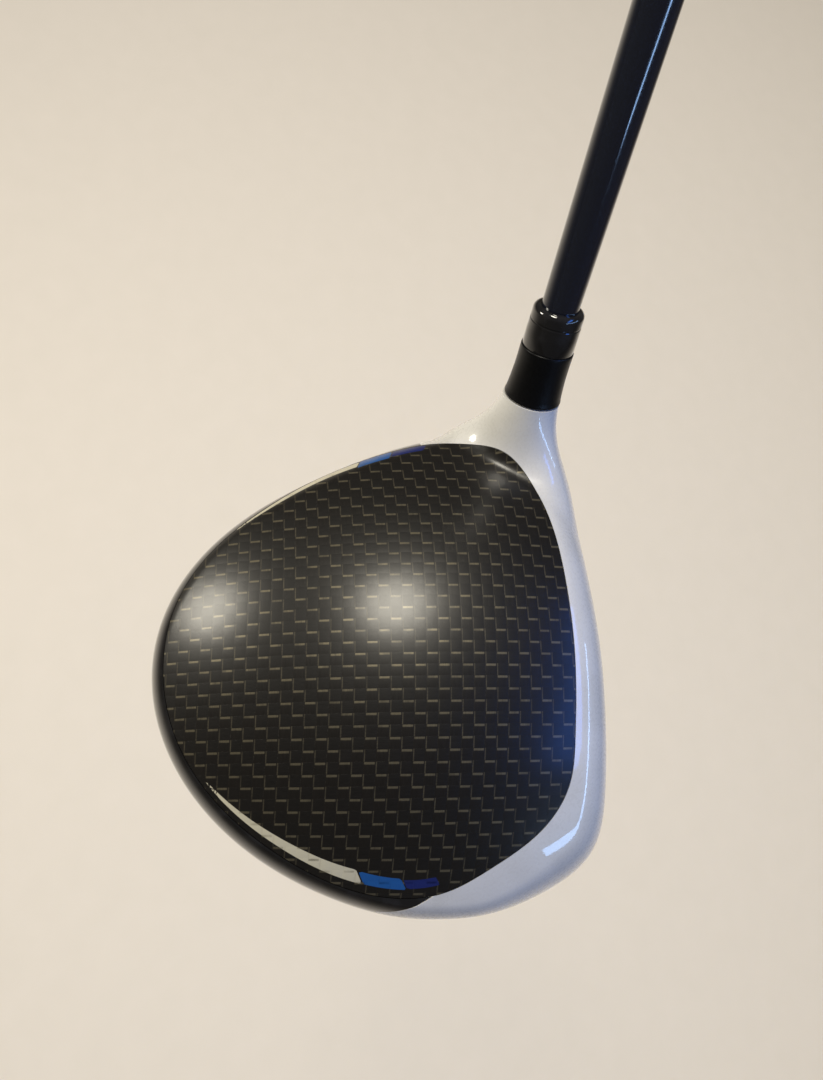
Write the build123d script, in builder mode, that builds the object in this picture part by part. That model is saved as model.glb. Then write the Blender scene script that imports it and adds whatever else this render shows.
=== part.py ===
"""Right-handed adjustable golf driver, modelled as the pieces it comes apart into.

Frame: the club at address. Origin at the centre of the flat patch on which the sole rests,
+X towards the heel, +Y towards the back of the head (the face looks along -Y), +Z up.
Lengths are in millimetres.
"""
from build123d import *
from math import cos, hypot, radians, sin, tan
import os

os.makedirs("parts", exist_ok=True)

# ---- driving dimensions -------------------------------------------------------------
club_length = 1162.0      # along the shaft axis, from the ground to the butt (45.75 in)
lie = 57.0                # shaft axis above the ground, degrees
loft_angle = 9.6          # slope of the face, degrees
head_scale = 0.97         # head outline below times this: about 460 cubic centimetres
rim_height = 32.0         # height at which the head is widest
side_tuck = 6.0           # how far the side draws in, 34 mm above or below the rim

crown_skin = 1.2
body_wall = 1.8
ring_wall = 2.2
ledge_wall = 1.2          # step on which a panel is bonded
glue = 0.1                # gap between a panel and what it is bonded to
ledge_width = 7.0
face_thickness = 3.0
body_gap = 0.3            # gap between pieces that move apart

hosel_top = (62.0, -13.0, 58.2)   # centre of the hosel's mouth, on the shaft axis
hosel_radius = 7.0
stem_radius = 5.5
stem_clearance = 0.08
stem_length = 28.0
seat_depth = 30.0         # web inside the hosel that the screw's washer bears on
seat_thickness = 3.0
port_radius = 4.7
port_mouth_radius = 5.0   # wider below the retainer, for the wrench's shank
port_mouth_station = 49.6
port_wall = 1.5

collar_length = 13.6
collar_radius = 7.2
collar_top_radius = 6.5
ferrule_length = 10.2
ferrule_radius = 6.3

tip_radius = 4.3
ferrule_top_shaft_radius = 4.45
butt_radius = 7.65
tip_bore = 2.2
butt_bore = 6.95
tip_insertion = 16.5      # below the hosel's mouth

screw_pitch = 0.8         # M5
screw_radius = 2.45
screw_head_radius = 4.1
screw_travel = 8.0        # engaged thread, ten turns

grip_length = 270.0
grip_mouth_radius = 9.6
grip_butt_radius = 13.4
tape_thickness = 0.15
cap_length = 4.5
vent_radius = 1.5

weight_radius = 10.0
weight_thickness = 5.0
weight_station = 56.0     # distance of the weight behind the origin
keel_depth = 3.0

# ---- head outline and surfaces --------------------------------------------------------
# Plan outline at the rim, toe side negative x, from the face centre round by the toe.
rim_outline = [
    (0, -34), (-17.5, -34.6), (-34.2, -34.8), (-49.2, -32.2), (-57.6, -22.7), (-62.4, -9.4),
    (-63.8, 4), (-63, 18), (-58.5, 33.4), (-50.6, 49.2), (-39.1, 63.5), (-23, 74.8),
    (-4.2, 79.5), (12.3, 76.5), (26.3, 67.5), (38.1, 53.2), (46.9, 37.2), (54.7, 20),
    (59.6, 2.8), (59, -12.5), (51, -25), (34.8, -30.8), (17, -32.6),
]
# Joint between the crown panel and its surround.
crown_outline = [
    (-4, -19.6), (-22, -19.4), (-33, -18.4), (-42, -13.2), (-51, -1.5), (-56.6, 9),
    (-57.6, 20), (-54.6, 33), (-47.5, 46.8), (-36.8, 60.4), (-21.5, 71.4), (-4, 75.8),
    (12.2, 73.6), (25.8, 65.2), (37, 52), (46.5, 37), (53, 20), (55.3, 6),
    (52.6, -4), (44.6, -13.2), (34, -17), (16, -18.9),
]


def smooth(t):
    """Soft step from 0 to 1."""
    t = max(0.0, min(1.0, t))
    return t * t * (3 - 2 * t)


def crown_height(x, y):
    """Height of the crown over the plan."""
    q = ((y + 8) / 84) ** 2 + (x / 73) ** 2
    return 61 - 27 * q - 6 * q * q


def sole_height(x, y):
    """Height of the sole over the plan; it dips just below the ground plane at the origin."""
    lengthwise = 15 * (y / 75) ** 2 if y > 0 else 3 * (y / 40) ** 2
    return 12 * (x / 60) ** 2 + lengthwise - 0.25


def keel_height(x, y):
    """Underside of the keel, which stands below the sole towards the back."""
    return sole_height(x, y) - keel_depth * smooth((y - 24) / 24)


def height_face(height, shift):
    """A smooth face over the whole plan that follows height(x, y)."""
    points = [
        [Vector(x, y, height(x, y) + shift) for y in range(-70, 111, 12)]
        for x in range(-84, 85, 12)
    ]
    return Face.make_surface_from_array_of_points(points, tol=0.01)


def wall_section(z, inset):
    """Outline of the side wall at height z: lofted back at the face, tucked in elsewhere."""
    points = []
    for x, y in rim_outline:
        x *= head_scale
        y *= head_scale
        reach = hypot(x, y - 15)
        front = smooth((-y - 8) / 16)
        draw_in = inset + side_tuck * ((z - rim_height) / 34) ** 2 * (1 - front)
        lean = front * (z - rim_height) * tan(radians(loft_angle))
        points.append((x - x / reach * draw_in, y - (y - 15) / reach * draw_in + lean))
    return points


def head_form(inset, underside=sole_height):
    """Solid form of the head, drawn in by inset all round, with the flat it rests on."""
    above = extrude(height_face(crown_height, -inset), 90, dir=(0, 0, 1), mode=Mode.PRIVATE)
    below = extrude(height_face(underside, inset), 60, dir=(0, 0, -1), mode=Mode.PRIVATE)
    with BuildPart() as form:
        for z in (-6, 14, 34, 52, 70):
            with BuildSketch(Plane.XY.offset(z)):
                with BuildLine():
                    Spline(wall_section(z, inset), periodic=True)
                make_face()
        loft()
        add(above, mode=Mode.SUBTRACT)
        add(below, mode=Mode.SUBTRACT)
        split(bisect_by=Plane.XY.offset(inset), keep=Keep.TOP)
    return form.part


def drawn_in(points, inset):
    """Plan outline moved inwards by inset along lines to the middle of the head."""
    moved = []
    for x, y in points:
        reach = hypot(x, y - 15)
        moved.append((x - x / reach * inset, y - (y - 15) / reach * inset))
    return moved


def plan_column(points, inset, bottom, top):
    """Upright column over a closed outline, its side drawn in by inset."""
    scaled = [(x * head_scale, y * head_scale) for x, y in points]
    with BuildPart() as column:
        with BuildSketch(Plane.XY.offset(bottom)):
            with BuildLine():
                Spline(drawn_in(scaled, inset), periodic=True)
            make_face()
        extrude(amount=top - bottom)
    return column.part


def along_shaft(s):
    """Plane across the shaft axis, s up the shaft from the hosel's mouth."""
    up = Vector(cos(radians(lie)), 0, sin(radians(lie)))
    return Plane(origin=Vector(*hosel_top) + up * s, x_dir=(-up.Z, 0, up.X), z_dir=up)


def turned(profile):
    """Solid of revolution about the shaft axis from (radius, station) points."""
    base = along_shaft(0)
    side = Plane(origin=base.origin, x_dir=base.x_dir, z_dir=base.y_dir * -1)
    with BuildPart() as solid:
        with BuildSketch(side):
            with BuildLine():
                Polyline(*profile, close=True)
            make_face()
        revolve(axis=Axis(base.origin, base.z_dir))
    return solid.part


def drive_socket(plane, depth):
    """Six-lobed wrench recess, cut into plane's far side."""
    with BuildPart() as socket:
        with BuildSketch(plane):
            Circle(1.75)
            with PolarLocations(1.75, 6):
                Circle(0.42)
        extrude(amount=depth)
    return socket.part


# ---- shared head forms ----------------------------------------------------------------
outer = head_form(0)
inner_skin = head_form(crown_skin)
inner_glue = head_form(crown_skin + glue)
inner_ledge = head_form(crown_skin + glue + ledge_wall)
inner_body = head_form(body_wall)
inner_ring = head_form(ring_wall)
inner_face = head_form(face_thickness)

# Neck that carries the hosel down into the crown; wider towards the toe and the back.
neck_sections = [   # station, centre towards the toe, centre towards the back, radii
    (0, 0, 0, hosel_radius, hosel_radius),
    (-5, 0.1, 0.1, 7.2, 7.2),
    (-11, 1.2, 1.4, 9.0, 8.8),
    (-17, 4.6, 4.0, 13.0, 12.2),
    (-23, 11.0, 8.0, 20.0, 17.6),
]
with BuildPart() as neck:
    for station, toe, back, toe_radius, back_radius in neck_sections:
        plane = along_shaft(station)
        centre = plane.origin + plane.x_dir * toe + Vector(0, back, 0)
        with BuildSketch(Plane(origin=centre, x_dir=plane.x_dir, z_dir=plane.z_dir)):
            Ellipse(toe_radius, back_radius)
    loft()


with BuildPart() as head_and_neck:
    add(outer)
    add(neck.part)

# ---- where the head parts from its front casting ----------------------------------------
# Upright plane across the head, further back at the toe than at the heel.
casting_joint = Plane(origin=(0, 17, 0), x_dir=(118, -11, 0), z_dir=(11, 118, 0))

crown_column = plan_column(crown_outline, 0, 24, 90)
crown_panel_column = plan_column(crown_outline, glue, 24, 90)
crown_ledge_outer = plan_column(crown_outline, -1, 24, 90)
crown_ledge_inner = plan_column(crown_outline, ledge_width, 20, 90)
sole_margin = 8.0
sole_column = plan_column(rim_outline, sole_margin, -5, 21)
sole_panel_column = plan_column(rim_outline, sole_margin + glue, -5, 21)
sole_ledge_outer = plan_column(rim_outline, sole_margin - 1, -5, 21)
sole_ledge_inner = plan_column(rim_outline, sole_margin + ledge_width, -6, 22)

keel_outline = [
    (0, 25), (5.5, 30), (9, 40), (14, 50), (15, 59), (10.5, 66.5), (0, 69),
    (-10.5, 66.5), (-15, 59), (-14, 50), (-9, 40), (-5.5, 30),
]
keel_hole = plan_column(keel_outline, -glue, -8, 22)


def ahead(part, plane):
    """The piece of part in front of an upright plane."""
    with BuildPart() as kept:
        add(part)
        split(bisect_by=plane, keep=Keep.BOTTOM)
    return kept.part


# ---- ledges on which the panels are bonded ----------------------------------------------
with BuildPart() as crown_ledge:
    add(inner_glue)
    add(inner_ledge, mode=Mode.SUBTRACT)
    add(crown_ledge_outer, mode=Mode.INTERSECT)
    add(crown_ledge_inner, mode=Mode.SUBTRACT)

with BuildPart() as sole_ledge:
    add(inner_glue)
    add(inner_ledge, mode=Mode.SUBTRACT)
    add(sole_ledge_outer, mode=Mode.INTERSECT)
    add(sole_ledge_inner, mode=Mode.SUBTRACT)
    add(keel_hole, mode=Mode.SUBTRACT)

with BuildPart() as casting_ledge:
    add(inner_glue)
    add(inner_ledge, mode=Mode.SUBTRACT)
    add(sole_ledge_inner, mode=Mode.INTERSECT)
    split(bisect_by=casting_joint.offset(-1), keep=Keep.TOP)
    split(bisect_by=casting_joint.offset(ledge_width), keep=Keep.BOTTOM)

# ---- crown panel --------------------------------------------------------------------------
with BuildPart() as crown_panel:
    add(head_and_neck.part)
    add(inner_skin, mode=Mode.SUBTRACT)
    add(crown_panel_column, mode=Mode.INTERSECT)

# ---- sole panel: one sheet, slotted at the back for the keel -------------------------------
with BuildPart() as sole_panel:
    add(outer)
    add(inner_skin, mode=Mode.SUBTRACT)
    add(sole_panel_column, mode=Mode.INTERSECT)
    split(bisect_by=casting_joint.offset(glue), keep=Keep.TOP)
    add(keel_hole, mode=Mode.SUBTRACT)

# ---- rear ring -----------------------------------------------------------------------------
with BuildPart() as rear_ring:
    add(outer)
    add(inner_ring, mode=Mode.SUBTRACT)
    add(crown_column, mode=Mode.SUBTRACT)
    add(sole_column, mode=Mode.SUBTRACT)
    add(crown_ledge.part)
    add(sole_ledge.part)
    add(keel_hole, mode=Mode.SUBTRACT)
    split(bisect_by=casting_joint.offset(glue), keep=Keep.TOP)

# ---- face plate, let into the front of the casting ------------------------------------------
face_outline = [
    (-41, 27), (-36, 38.5), (-22, 46), (0, 48.5), (18, 46.5), (32, 39), (38, 27),
    (33, 15), (18, 9.8), (0, 8.8), (-20, 9.8), (-34, 15),
]
face_side = Plane(origin=(0, -60, 0), x_dir=(1, 0, 0), z_dir=(0, -1, 0))
face_middle = 29.0


def face_column(inset):
    """Column through the face, over the plate's outline drawn in by inset."""
    points = []
    for x, z in face_outline:
        reach = hypot(x, z - face_middle)
        points.append((x - x / reach * inset, z - (z - face_middle) / reach * inset))
    with BuildPart() as column:
        with BuildSketch(face_side):
            with BuildLine():
                Spline(points, periodic=True)
            make_face()
        extrude(amount=-42)
    return column.part


face_normal = (0, -cos(radians(loft_angle)), sin(radians(loft_angle)))
port_plug_radius = 2.4
port_plug_places = [(-30, 27), (28, 25)]

with BuildPart() as face_plate:
    add(face_column(0.05))
    add(outer, mode=Mode.INTERSECT)
    add(inner_face, mode=Mode.SUBTRACT)
    for x, z in port_plug_places:
        with BuildSketch(Plane(origin=(x, -33, z), x_dir=(1, 0, 0), z_dir=face_normal)):
            Circle(port_plug_radius + 0.05)
        extrude(amount=12, both=True, mode=Mode.SUBTRACT)

with BuildPart() as face_port_screws:
    for x, z in port_plug_places:
        with BuildSketch(Plane(origin=(x, -33, z), x_dir=(1, 0, 0), z_dir=face_normal)):
            Circle(port_plug_radius)
        extrude(amount=12, both=True)
    add(outer, mode=Mode.INTERSECT)
    add(inner_face, mode=Mode.SUBTRACT)
    for x, z in port_plug_places:
        with BuildSketch(Plane(origin=(x, -33, z), x_dir=(1, 0, 0), z_dir=face_normal)):
            RegularPolygon(1.1, 6)
        extrude(amount=12, mode=Mode.SUBTRACT)

# ---- slot behind the face, filled with a soft insert -----------------------------------------
slot_length = 58.0
slot_width = 4.6
slot_place = (-3, -25.5, 2)
slot_lip = 1.6
with BuildPart() as slot_insert:
    with Locations(slot_place):
        Box(slot_length - 0.1, slot_width - 0.1, 12)
    add(outer, mode=Mode.INTERSECT)
    add(inner_body, mode=Mode.SUBTRACT)
    with BuildPart(mode=Mode.PRIVATE) as flange:
        with Locations(slot_place):
            Box(slot_length + 2 * slot_lip, slot_width + 2 * slot_lip, 14)
        add(inner_body, mode=Mode.INTERSECT)
        add(inner_face, mode=Mode.SUBTRACT)
    add(flange.part)

# ---- front casting with the hosel -------------------------------------------------------------
hosel_tube = turned([
    (0, 0), (hosel_radius, 0), (hosel_radius + 0.4, -6), (hosel_radius + 0.4, -seat_depth - 4),
    (port_radius + port_wall, -seat_depth - 7), (port_radius + port_wall, -74), (0, -74),
])
bore = turned([
    (0, 2), (stem_radius + stem_clearance, 2), (stem_radius + stem_clearance, -seat_depth),
    (screw_radius + 0.3, -seat_depth), (screw_radius + 0.3, -seat_depth - seat_thickness),
    (port_radius, -seat_depth - seat_thickness), (port_radius, -port_mouth_station),
    (port_mouth_radius, -port_mouth_station), (port_mouth_radius, -80), (0, -80),
])
retainer_station = 47.6
retainer_width = 1.2
retainer_groove = turned([
    (0, -retainer_station), (port_radius + 0.5, -retainer_station),
    (port_radius + 0.5, -retainer_station - retainer_width),
    (0, -retainer_station - retainer_width),
])
spline_count = 12
spline_height = 0.6
spline_length = 6.0

with BuildPart() as tube_in_head:
    add(hosel_tube)
    add(head_and_neck.part, mode=Mode.INTERSECT)

with BuildPart() as front_body:
    add(head_and_neck.part)
    add(inner_body, mode=Mode.SUBTRACT)
    add(crown_column, mode=Mode.SUBTRACT)
    split(bisect_by=casting_joint, keep=Keep.BOTTOM)
    add(ahead(crown_ledge.part, casting_joint))
    add(casting_ledge.part)
    add(face_column(0), mode=Mode.SUBTRACT)
    with Locations(slot_place):
        Box(slot_length, slot_width, 12, mode=Mode.SUBTRACT)
    add(tube_in_head.part)
    add(bore, mode=Mode.SUBTRACT)
    add(retainer_groove, mode=Mode.SUBTRACT)
    with BuildSketch(along_shaft(0.5)):
        with PolarLocations((stem_radius + spline_height) / 2 + 1, spline_count):
            Rectangle(stem_radius + spline_height - 1.9, 1.36)
    extrude(amount=-spline_length - 1.3, mode=Mode.SUBTRACT)

# ---- weight housing: a keel under the back of the sole ------------------------------------------
keel_slope = 2 * 15 * weight_station / 75 ** 2
weight_axis = Vector(0, keel_slope, -1).normalized()
weight_plane = Plane(
    origin=(0, weight_station, keel_height(0, weight_station)), x_dir=(1, 0, 0), z_dir=weight_axis
)
weight_recess = 5.3
thread_depth = 9.0
with BuildPart() as weight_housing:
    add(head_form(0, keel_height))
    add(plan_column(keel_outline, 0, -8, 17.5), mode=Mode.INTERSECT)
    add(head_form(4.0), mode=Mode.SUBTRACT)
    with BuildSketch(weight_plane.offset(-weight_recess)):
        Circle(5.6)
    extrude(amount=-thread_depth - 1.5)
    with BuildSketch(weight_plane.offset(-weight_recess)):
        Circle(weight_radius + body_gap)
    extrude(amount=12, mode=Mode.SUBTRACT)
    with BuildSketch(weight_plane.offset(-weight_recess)):
        Circle(screw_radius + 0.05)
    extrude(amount=-thread_depth, mode=Mode.SUBTRACT)

with BuildPart() as rear_weight:
    with BuildSketch(weight_plane.offset(-weight_thickness)):
        Circle(weight_radius)
        Circle(screw_radius + body_gap, mode=Mode.SUBTRACT)
    extrude(amount=weight_thickness)
    with BuildSketch(weight_plane):
        Circle(screw_head_radius + body_gap)
    extrude(amount=-3.0, mode=Mode.SUBTRACT)
    with BuildSketch(weight_plane):
        Circle(8.2)
        Circle(7.4, mode=Mode.SUBTRACT)
    extrude(amount=-0.4, mode=Mode.SUBTRACT)

with BuildPart() as rear_weight_screw:
    with BuildSketch(weight_plane.offset(-0.2)):
        Circle(screw_head_radius)
    extrude(amount=-2.5)
    with BuildSketch(weight_plane.offset(-2.7)):
        Circle(screw_radius)
    extrude(amount=-(weight_recess - 2.7 + screw_travel - 0.3))
    add(drive_socket(weight_plane.offset(-2.0), 3), mode=Mode.SUBTRACT)

# ---- loft sleeve, ferrule and the screw that draws them in -----------------------------------------
collar_bottom = body_gap
collar_top = collar_bottom + collar_length
tapped_depth = 10.0
with BuildPart() as hosel_sleeve:
    add(turned([
        (ferrule_top_shaft_radius, collar_top), (collar_top_radius - 0.3, collar_top),
        (collar_top_radius, collar_top - 0.3), (collar_top_radius + 0.05, 9.5),
        (collar_top_radius + 0.2, 5), (collar_radius - 0.1, 1.6), (collar_radius, 0.8),
        (collar_radius - 0.1, collar_bottom),
        (stem_radius, collar_bottom), (stem_radius, 0.6 - stem_length),
        (stem_radius - 0.6, -stem_length), (screw_radius + 0.05, -stem_length),
        (screw_radius + 0.05, tapped_depth - stem_length), (0, tapped_depth - stem_length),
        (0, -tip_insertion - 0.5), (ferrule_top_shaft_radius, -tip_insertion - 0.5),
    ]))
    with BuildSketch(along_shaft(collar_bottom)):
        with PolarLocations((stem_radius + spline_height) / 2 + 2.35, spline_count):
            Rectangle(stem_radius + spline_height - 4.7, 1.2)
    extrude(amount=-spline_length)

with BuildPart() as hosel_screw:
    add(turned([
        (0, screw_travel - stem_length), (screw_radius - 0.4, screw_travel - stem_length),
        (screw_radius, screw_travel - stem_length - 0.4), (screw_radius, -34.3),
        (screw_head_radius, -34.3), (screw_head_radius, -37.9), (screw_head_radius - 0.4, -38.3),
        (0, -38.3),
    ]))
    add(drive_socket(along_shaft(-39), 3.2), mode=Mode.SUBTRACT)

with BuildPart() as screw_washer:
    add(turned([
        (screw_radius + 0.1, -33.3), (port_radius - 0.1, -33.3),
        (port_radius - 0.1, -34.0), (screw_radius + 0.1, -34.0),
    ]))

with BuildPart() as screw_retainer:
    add(turned([
        (2.9, -retainer_station - 0.05), (port_radius + 0.45, -retainer_station - 0.05),
        (port_radius + 0.45, -retainer_station - retainer_width + 0.05),
        (2.9, -retainer_station - retainer_width + 0.05),
    ]))

ferrule_bottom = collar_top + 0.05
ferrule_top = ferrule_bottom + ferrule_length
with BuildPart() as ferrule:
    add(turned([
        (ferrule_top_shaft_radius + 0.05, ferrule_bottom), (ferrule_radius - 0.15, ferrule_bottom),
        (ferrule_radius, ferrule_bottom + 0.15), (ferrule_radius - 0.15, ferrule_top - 2.0),
        (ferrule_radius - 0.35, ferrule_top - 1.0), (ferrule_radius - 0.8, ferrule_top - 0.3),
        (ferrule_radius - 1.3, ferrule_top), (ferrule_top_shaft_radius + 0.05, ferrule_top),
    ]))

# ---- shaft and grip ------------------------------------------------------------------------------
ground_to_hosel = hosel_top[2] / sin(radians(lie))
butt_end = club_length - ground_to_hosel
shaft_top = butt_end - cap_length - 0.1
grip_bottom = shaft_top - grip_length
taper = (butt_radius - ferrule_top_shaft_radius) / (shaft_top - ferrule_top)


def shaft_radius(s):
    """Outer radius of the shaft above the ferrule."""
    return ferrule_top_shaft_radius + taper * (s - ferrule_top)


with BuildPart() as shaft:
    add(turned([
        (tip_bore, -tip_insertion), (tip_radius, -tip_insertion), (tip_radius, 0),
        (ferrule_top_shaft_radius, ferrule_top), (butt_radius, shaft_top),
        (butt_bore, shaft_top),
    ]))

with BuildPart() as tip_plug:
    add(turned([
        (0, 1 - tip_insertion), (tip_bore - 0.02, 1 - tip_insertion),
        (tip_bore - 0.02, 13 - tip_insertion), (0, 13 - tip_insertion),
    ]))

with BuildPart() as grip_tape:
    add(turned([
        (shaft_radius(grip_bottom + 4) + 0.02, grip_bottom + 4),
        (shaft_radius(grip_bottom + 4) + tape_thickness, grip_bottom + 4),
        (butt_radius + tape_thickness, shaft_top), (butt_radius + 0.02, shaft_top),
    ]))

tape_room = tape_thickness + 0.03
with BuildPart() as grip:
    add(turned([
        (shaft_radius(grip_bottom) + tape_room, grip_bottom),
        (grip_mouth_radius - 0.9, grip_bottom), (grip_mouth_radius, grip_bottom + 1.2),
        (grip_mouth_radius, grip_bottom + 5),
        (grip_mouth_radius + 0.9, grip_bottom + 110), (grip_butt_radius - 0.9, shaft_top - 60),
        (grip_butt_radius, shaft_top - 12), (grip_butt_radius, shaft_top),
        (butt_radius + tape_room, shaft_top),
    ]))

with BuildPart() as grip_cap:
    add(turned([
        (vent_radius, shaft_top + 0.1), (grip_butt_radius, shaft_top + 0.1),
        (grip_butt_radius, butt_end - 2.4), (grip_butt_radius - 0.8, butt_end - 1.0),
        (grip_butt_radius - 2.6, butt_end), (vent_radius, butt_end),
    ]))

# ---- export -----------------------------------------------------------------------------------------
pieces = {
    "front_body": front_body.part,
    "face_plate": face_plate.part,
    "face_port_screws": face_port_screws.part,
    "slot_insert": slot_insert.part,
    "crown_panel": crown_panel.part,
    "sole_panel": sole_panel.part,
    "rear_ring": rear_ring.part,
    "weight_housing": weight_housing.part,
    "rear_weight": rear_weight.part,
    "rear_weight_screw": rear_weight_screw.part,
    "hosel_sleeve": hosel_sleeve.part,
    "hosel_screw": hosel_screw.part,
    "screw_washer": screw_washer.part,
    "screw_retainer": screw_retainer.part,
    "ferrule": ferrule.part,
    "shaft": shaft.part,
    "tip_plug": tip_plug.part,
    "grip_tape": grip_tape.part,
    "grip": grip.part,
    "grip_cap": grip_cap.part,
}
for name, piece in pieces.items():
    piece.label = name
    export_step(piece, f"parts/{name}.step")
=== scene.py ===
"""Looks of the golf driver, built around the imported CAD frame.

Blender works in metres. The head's formulas below are in millimetres, as in the part's own source,
and MM turns them into metres when a mesh is made.
"""

from math import cos, pi, radians, sin, tan

import bmesh
import bpy
import numpy as np
from mathutils import Euler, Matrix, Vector


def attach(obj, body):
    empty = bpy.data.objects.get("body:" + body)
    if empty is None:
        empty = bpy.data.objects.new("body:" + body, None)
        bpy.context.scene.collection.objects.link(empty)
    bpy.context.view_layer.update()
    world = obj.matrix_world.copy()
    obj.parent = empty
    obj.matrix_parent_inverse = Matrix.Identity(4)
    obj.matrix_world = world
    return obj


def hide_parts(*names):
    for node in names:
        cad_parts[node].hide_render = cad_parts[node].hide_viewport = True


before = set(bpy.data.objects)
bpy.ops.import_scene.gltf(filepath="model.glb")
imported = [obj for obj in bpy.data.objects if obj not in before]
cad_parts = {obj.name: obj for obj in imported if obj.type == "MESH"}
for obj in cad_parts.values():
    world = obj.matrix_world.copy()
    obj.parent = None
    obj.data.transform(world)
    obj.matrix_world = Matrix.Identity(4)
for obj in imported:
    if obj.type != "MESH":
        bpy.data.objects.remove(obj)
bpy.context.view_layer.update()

MM = 0.001
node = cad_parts

# ---- driving dimensions of the head, in millimetres ----------------------------------
HEAD_SCALE = 0.97
LOFT = radians(9.6)
LIE = radians(57.0)
RIM_HEIGHT = 32.0        # level of the head's widest outline
SIDE_TUCK = 6.0          # how far the side wall draws in, TUCK_REACH above or below the rim
TUCK_REACH = 34.0
CROWN_TOP = 61.0
CROWN_DROP = 27.0        # fall of the crown from its top to the ellipse of the next three values
CROWN_CURL = 6.0         # extra fall near the rim
CROWN_MIDDLE = -8.0
CROWN_DEPTH = 84.0
CROWN_SPAN = 73.0
SOLE_CAMBER = 12.0       # rise of the sole at SOLE_SPAN to either side
SOLE_SPAN = 60.0
BACK_RISE = 15.0         # rise of the sole at BACK_REACH behind the origin
BACK_REACH = 75.0
FRONT_RISE = 3.0         # rise of the sole at FRONT_REACH ahead of the origin
FRONT_REACH = 40.0
SOLE_FLAT = 0.25         # depth cut off to leave a flat patch to stand on
EDGE_ROUND = 4.0         # rounding of the rim at the back, at the front, and along the sole
FRONT_ROUND = 9.0
SOLE_ROUND = 6.0
NECK_BLEND = 24.0        # size of the flare between neck and head, at the front and at the back
NECK_BLEND_BACK = 28.0
NECK_BELOW = 24.0        # the neck's column, down and up from the hosel's top
NECK_ABOVE = 4.0
CROWN_CLEAR = 14.0       # the flare lessens over this distance from the crown panel
LEAST_FLARE = 0.35       # share of the flare that is left over the crown panel
SHELL_STEP = 1.5         # grid step of the outer and inner surfaces
INNER_STEP = 2.5
CROWN_SKIN = 1.2
BODY_WALL = 1.8
RING_WALL = 2.2
JOINT_GAP = 0.14
SOLE_INSET = 8.0         # the sole panel's edge lies this far inside the rim
HOSEL_TOP = np.array([62.0, -13.0, 58.2])
SHAFT_UP = np.array([cos(LIE), 0.0, sin(LIE)])
SHAFT_SIDE = np.array([-SHAFT_UP[2], 0.0, SHAFT_UP[0]])
HOSEL_RADIUS = 7.0
SLEEVE_BORE = 6.2        # radius of the hosel's mouth
SPLINE_SEAT = 5.58       # radius below the splines
SCREW_HOLE = 2.75
PORT_RADIUS = 4.7
SEAT_DEPTH = 30.0        # the sleeve's seat below the hosel's top
CLUB_LENGTH = 1162.0
GRIP_LENGTH = 270.0
CAP_HEIGHT = 4.6
TIP_RADIUS = 4.3         # shaft, at its tip, above the ferrule and at its top
FERRULE_TOP = 24.15
LOW_RADIUS = 4.45
BUTT_RADIUS = 7.65
BUTT_END = CLUB_LENGTH - HOSEL_TOP[2] / sin(LIE)
SHAFT_TOP = BUTT_END - CAP_HEIGHT
GRIP_BOTTOM = SHAFT_TOP - GRIP_LENGTH

RIM = [
    (0, -34), (-17.5, -34.6), (-34.2, -34.8), (-49.2, -32.2), (-57.6, -22.7), (-62.4, -9.4),
    (-63.8, 4), (-63, 18), (-58.5, 33.4), (-50.6, 49.2), (-39.1, 63.5), (-23, 74.8),
    (-4.2, 79.5), (12.3, 76.5), (26.3, 67.5), (38.1, 53.2), (46.9, 37.2), (54.7, 20),
    (59.6, 2.8), (59, -12.5), (51, -25), (34.8, -30.8), (17, -32.6),
]
CROWN_EDGE = [
    (-4, -19.6), (-22, -19.4), (-33, -18.4), (-42, -13.2), (-51, -1.5), (-56.6, 9),
    (-57.6, 20), (-54.6, 33), (-47.5, 46.8), (-36.8, 60.4), (-21.5, 71.4), (-4, 75.8),
    (12.2, 73.6), (25.8, 65.2), (37, 52), (46.5, 37), (53, 20), (55.3, 6),
    (52.6, -4), (44.6, -13.2), (34, -17), (16, -18.9),
]
HEAD_MIDDLE = (0, 15)
KEEL_EDGE = [
    (0, 25), (5.5, 30), (9, 40), (14, 50), (15, 59), (10.5, 66.5), (0, 69),
    (-10.5, 66.5), (-15, 59), (-14, 50), (-9, 40), (-5.5, 30),
]
FACE_EDGE = [
    (-41, 27), (-36, 38.5), (-22, 46), (0, 48.5), (18, 46.5), (32, 39), (38, 27),
    (33, 15), (18, 9.8), (0, 8.8), (-20, 9.8), (-34, 15),
]


# ---- curves and fields ------------------------------------------------------------------
def smooth_step(t):
    t = np.clip(t, 0, 1)
    return t * t * (3 - 2 * t)


def closed_spline(points, per_span=18):
    """Points along the smooth closed curve through the given points."""
    p = np.array(points, float)
    after = np.roll(p, -1, 0)
    span = np.linalg.norm(after - p, axis=1)
    before = np.roll(span, 1)
    n = len(p)
    matrix = np.zeros((n, n))
    for i in range(n):
        matrix[i, i] = 2 * (before[i] + span[i])
        matrix[i, i - 1] += before[i]
        matrix[i, (i + 1) % n] += span[i]
    slopes = (after - p) / span[:, None]
    bend = np.linalg.solve(matrix, 6 * (slopes - np.roll(slopes, 1, 0)))
    t = (np.arange(per_span) / per_span)[None, :, None]
    a, b = p[:, None], after[:, None]
    ma, mb = bend[:, None], np.roll(bend, -1, 0)[:, None]
    h = span[:, None, None] ** 2 / 6
    curve = (1 - t) * a + t * b + h * (((1 - t) ** 3 - (1 - t)) * ma + (t ** 3 - t) * mb)
    return curve.reshape(-1, 2)


def drawn_in(points, inset):
    """Outline moved towards the middle of the head."""
    p = np.array(points, float)
    away = p - HEAD_MIDDLE
    return p - away / np.linalg.norm(away, axis=1)[:, None] * inset


def head_outline(points, inset=0.0):
    return closed_spline(drawn_in(np.array(points) * HEAD_SCALE, inset))


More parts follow.
